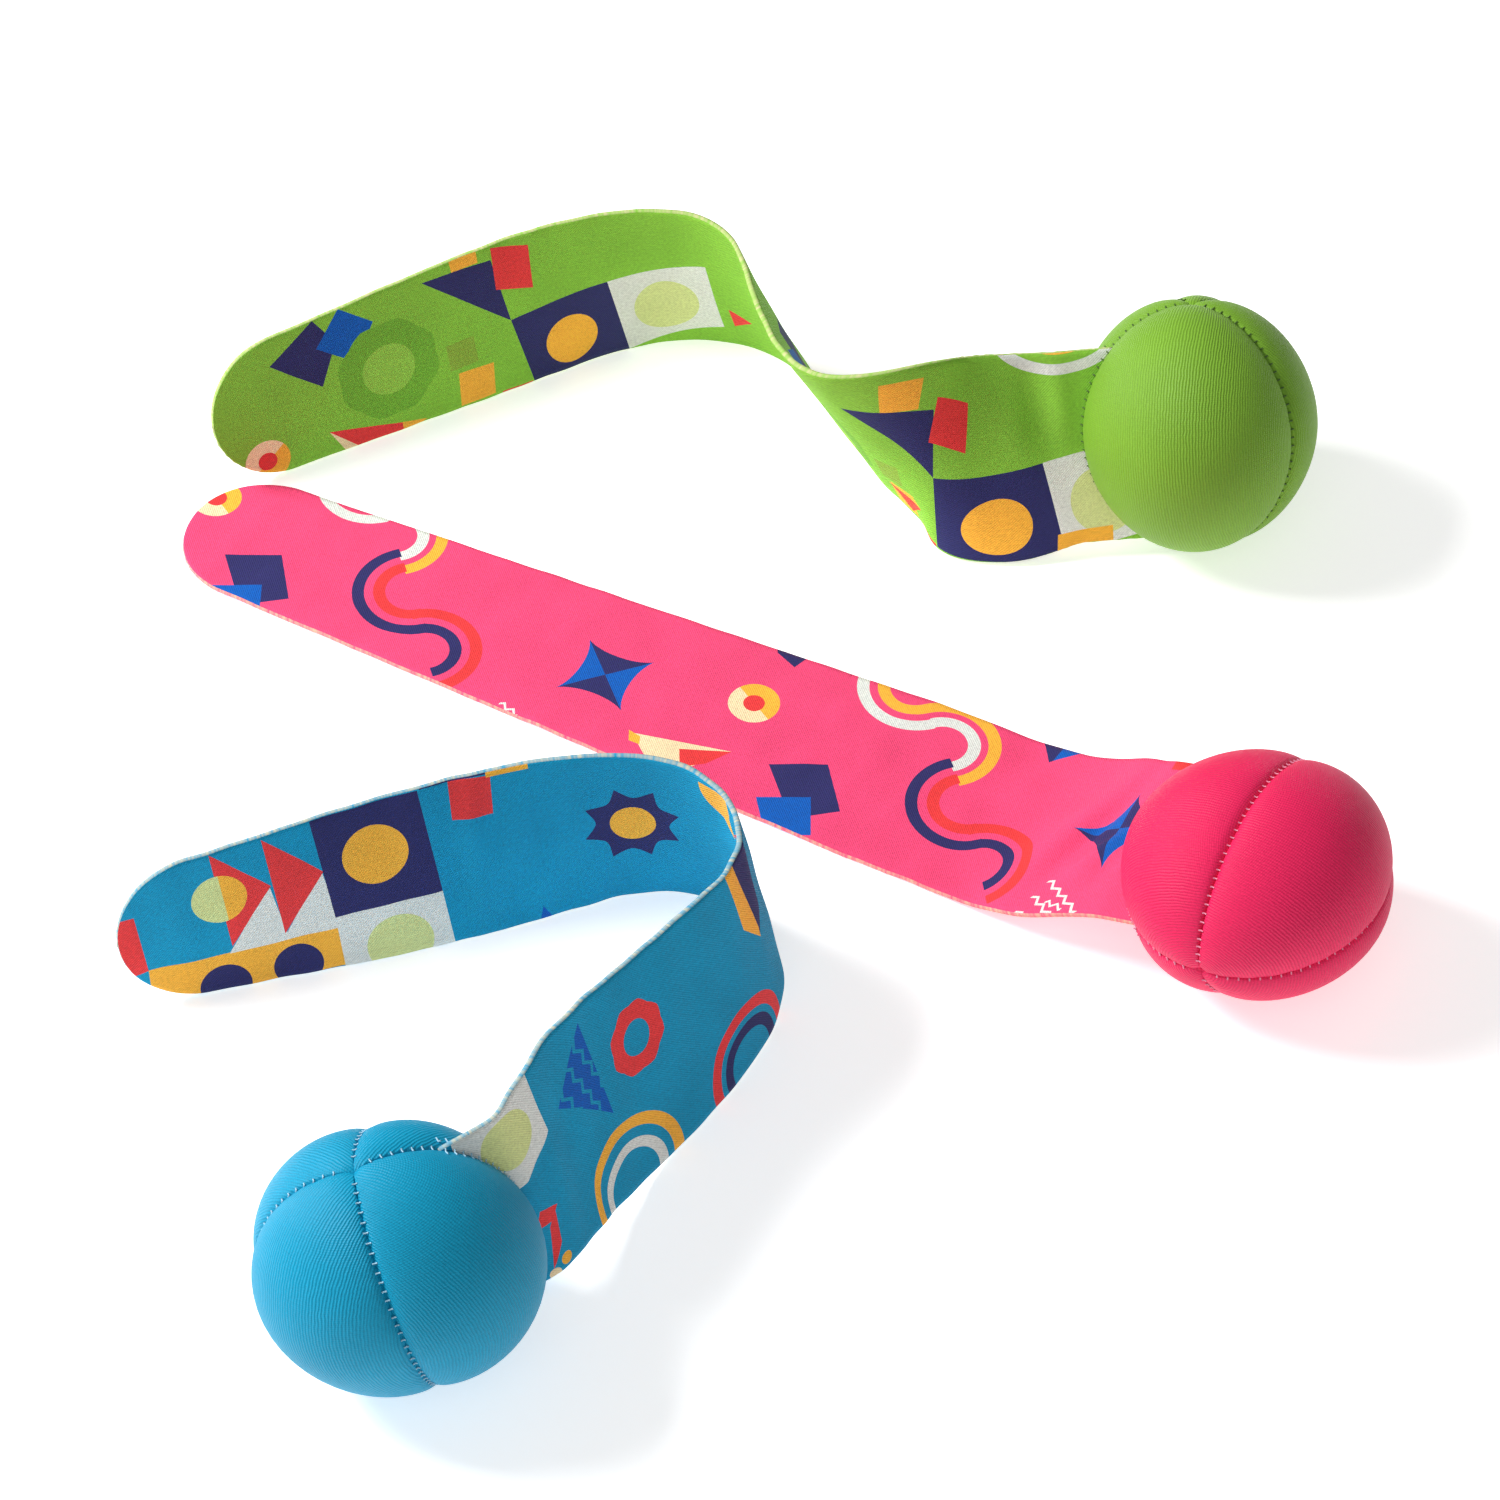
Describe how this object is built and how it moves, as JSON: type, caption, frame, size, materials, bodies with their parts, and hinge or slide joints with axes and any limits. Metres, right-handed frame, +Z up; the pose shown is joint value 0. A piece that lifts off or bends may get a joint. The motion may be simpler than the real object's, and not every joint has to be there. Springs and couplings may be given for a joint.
{
  "type": "stuffed tail ball set",
  "caption": "Soft stuffed throwing balls of sewn fabric panels, each with a flat tapered printed fabric tail sewn into one seam, lying as a set.",
  "frame": {"origin": "middle of the set's footprint, on the surface that it lies on", "axes": "+Z is up, -Y is the side nearest the viewer and +X is to the viewer's right, where the green and the pink balls are"},
  "size_m": [0.2986, 0.3542, 0.0613],
  "materials": {
    "green_fabric": "matt, knit-faced foam-backed fabric",
    "pink_fabric": "matt, knit-faced foam-backed fabric",
    "blue_fabric": "matt, knit-faced foam-backed fabric",
    "green_print": "matt, printed with geometric shapes",
    "pink_print": "matt, printed with geometric shapes",
    "blue_print": "matt, printed with geometric shapes",
    "thread": "pale sewing thread",
    "filling": "loose soft stuffing"
  },
  "bodies": {
    "pink_ball": {"pink_panel_1": "pink_fabric", "pink_panel_2": "pink_fabric", "pink_panel_3": "pink_fabric", "pink_panel_4": "pink_fabric", "pink_seam_1": "thread", "pink_seam_2": "thread", "pink_seam_3": "thread", "pink_seam_4": "thread", "pink_filling": "filling"},
    "green_ball": {"green_panel_1": "green_fabric", "green_panel_2": "green_fabric", "green_panel_3": "green_fabric", "green_panel_4": "green_fabric", "green_seam_1": "thread", "green_seam_2": "thread", "green_seam_3": "thread", "green_seam_4": "thread", "green_filling": "filling"},
    "blue_ball": {"blue_panel_1": "blue_fabric", "blue_panel_2": "blue_fabric", "blue_panel_3": "blue_fabric", "blue_panel_4": "blue_fabric", "blue_seam_1": "thread", "blue_seam_2": "thread", "blue_seam_3": "thread", "blue_seam_4": "thread", "blue_filling": "filling"},
    "pink_tail_inner": {"pink_tail_inner": "pink_print"},
    "pink_tail_outer": {"pink_tail_outer": "pink_print"},
    "green_tail_inner": {"green_tail_inner": "green_print"},
    "green_tail_outer": {"green_tail_outer": "green_print"},
    "blue_tail_inner": {"blue_tail_inner": "blue_print"},
    "blue_tail_outer": {"blue_tail_outer": "blue_print"}
  },
  "joints": [
    {"name": "pink_tail_root", "type": "hinge", "parent": "pink_ball", "child": "pink_tail_inner", "pos_m": [0.09348, -0.01995, 0.02059], "axis": [0.4942, 0.8637, 0.0989], "range_deg": [0, 28]},
    {"name": "pink_tail_fold", "type": "hinge", "parent": "pink_tail_inner", "child": "pink_tail_outer", "pos_m": [-0.0221, 0.04552, 0.00075], "axis": [0.454, 0.891, 0], "range_deg": [0, 100]},
    {"name": "green_lift", "type": "slide", "parent": "pink_ball", "child": "green_ball", "axis": [0, 0, 1], "range_m": [0, 0.1]},
    {"name": "green_tail_root", "type": "hinge", "parent": "green_ball", "child": "green_tail_inner", "pos_m": [0.08349, 0.10804, 0.02613], "axis": [-0.0605, 0.5085, 0.859], "range_deg": [0, 25]},
    {"name": "green_tail_fold", "type": "hinge", "parent": "green_tail_inner", "child": "green_tail_outer", "pos_m": [-0.03622, 0.17242, 0.024], "axis": [-0.0405, -0.0091, 0.9991], "range_deg": [-40, 0]},
    {"name": "blue_lift", "type": "slide", "parent": "pink_ball", "child": "blue_ball", "axis": [0, 0, 1], "range_m": [0, 0.1]},
    {"name": "blue_tail_root", "type": "hinge", "parent": "blue_ball", "child": "blue_tail_inner", "pos_m": [-0.05308, -0.1329, 0.03001], "axis": [-0.2784, 0.1082, 0.9544], "range_deg": [-35, 0]},
    {"name": "blue_tail_fold", "type": "hinge", "parent": "blue_tail_inner", "child": "blue_tail_outer", "pos_m": [-0.02798, -0.01742, 0.02442], "axis": [-0.044, -0.0125, 0.999], "range_deg": [-35, 25]}
  ]
}
